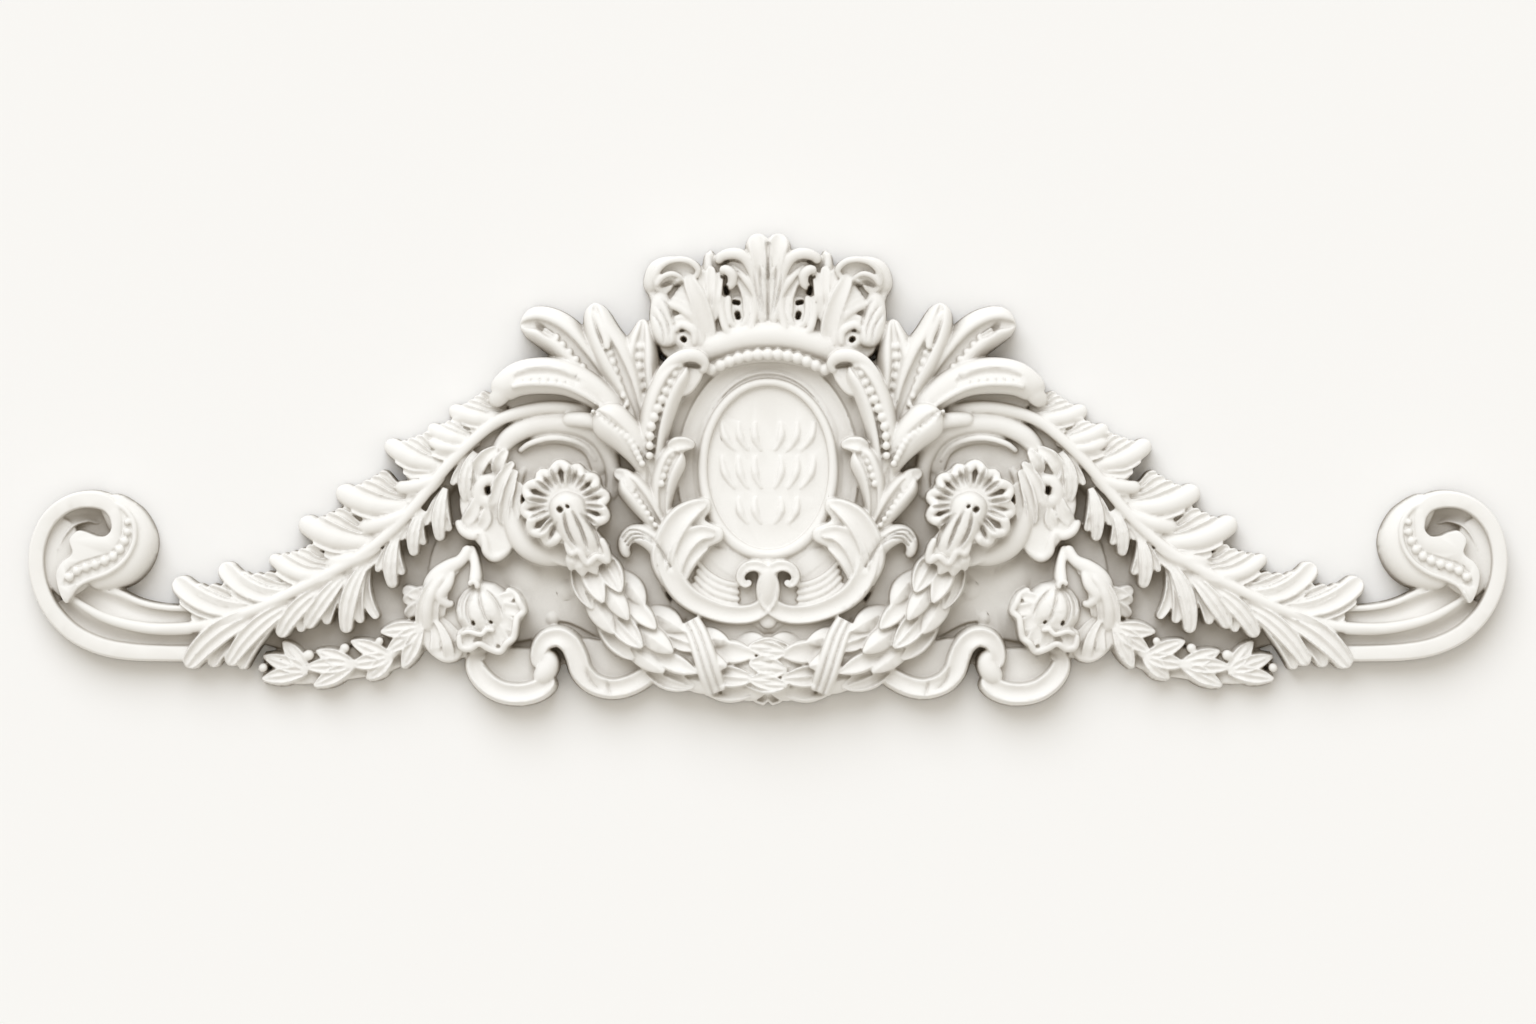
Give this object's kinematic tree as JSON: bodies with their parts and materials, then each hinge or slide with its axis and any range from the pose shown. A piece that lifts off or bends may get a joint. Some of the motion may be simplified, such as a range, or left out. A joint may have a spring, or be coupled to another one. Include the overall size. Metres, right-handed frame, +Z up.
{
  "type": "floral wall relief",
  "caption": "Cast plaster overdoor relief: oval frame under a leaf crest, pod sprays, laurel swag with rosettes, leafy side wings ending in beaded scrolls, flat back for the wall.",
  "frame": {"origin": "on the flat back face, on the ornament's axis, at the middle of its height", "axes": "+X to the viewer's right along the wall, +Z up, +Y into the wall, so the carved front faces -Y"},
  "size_m": [1.2019, 0.0557, 0.3838],
  "materials": {
    "plaster": "matte"
  },
  "bodies": {
    "root": {"floral_relief": "plaster"}
  },
  "joints": []
}
